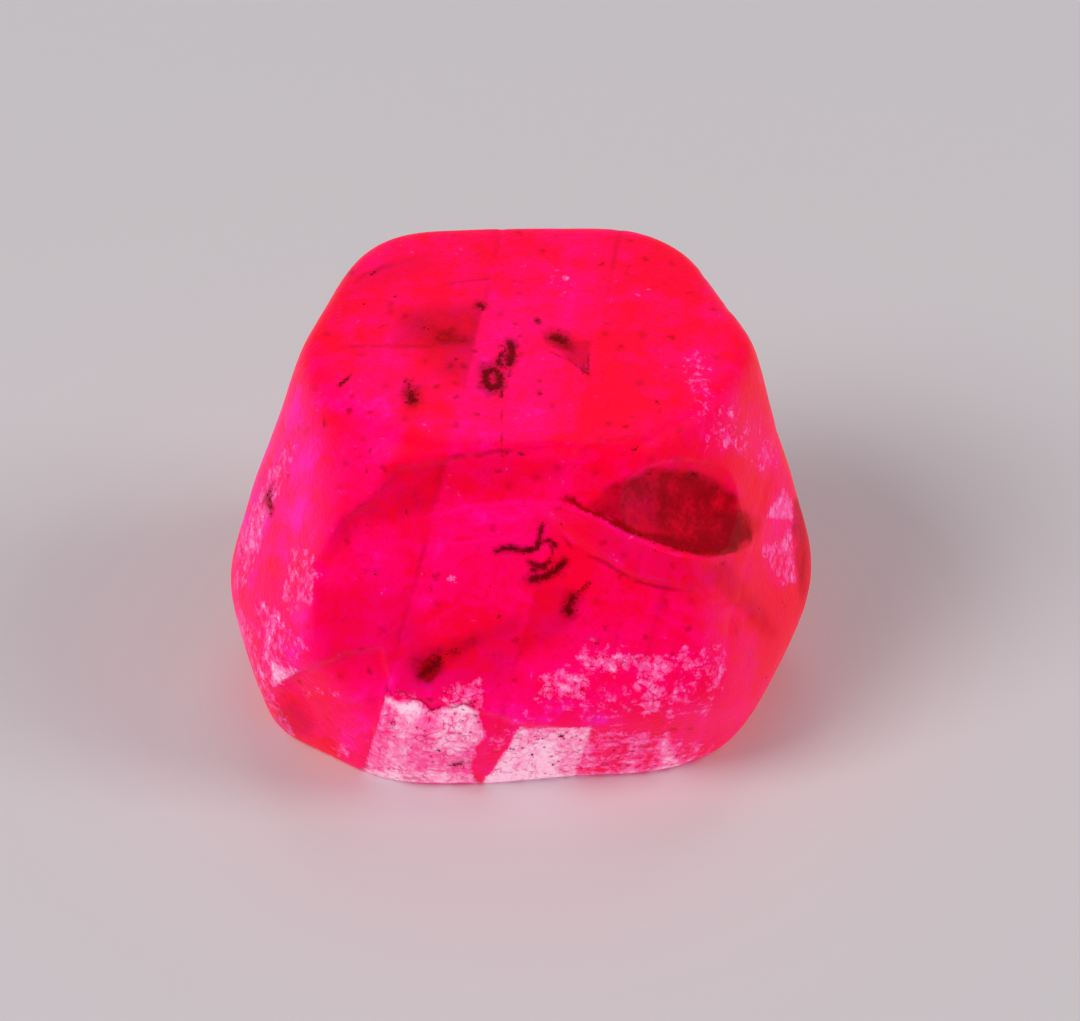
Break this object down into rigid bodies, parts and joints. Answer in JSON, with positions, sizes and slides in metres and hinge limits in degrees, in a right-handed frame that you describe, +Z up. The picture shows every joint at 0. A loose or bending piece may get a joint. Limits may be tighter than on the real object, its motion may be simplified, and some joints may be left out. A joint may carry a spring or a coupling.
{
  "type": "raw ruby crystal",
  "caption": "Squat hexagonal barrel of rough ruby, clear pinkish red and worn round at its edges, that stands on its flat base.",
  "frame": {"origin": "middle of the flat base, under the crystal's heart", "axes": "+Z up along the crystal's long growth axis; the front, with the scooped hollow at its upper right, faces -Y; +X is to the right"},
  "size_m": [0.022, 0.0185, 0.0148],
  "materials": {
    "ruby": "satin, clear but cloudy pinkish red, with frosted patches and dark specks"
  },
  "bodies": {
    "root": {"ruby_crystal": "ruby"}
  },
  "joints": []
}
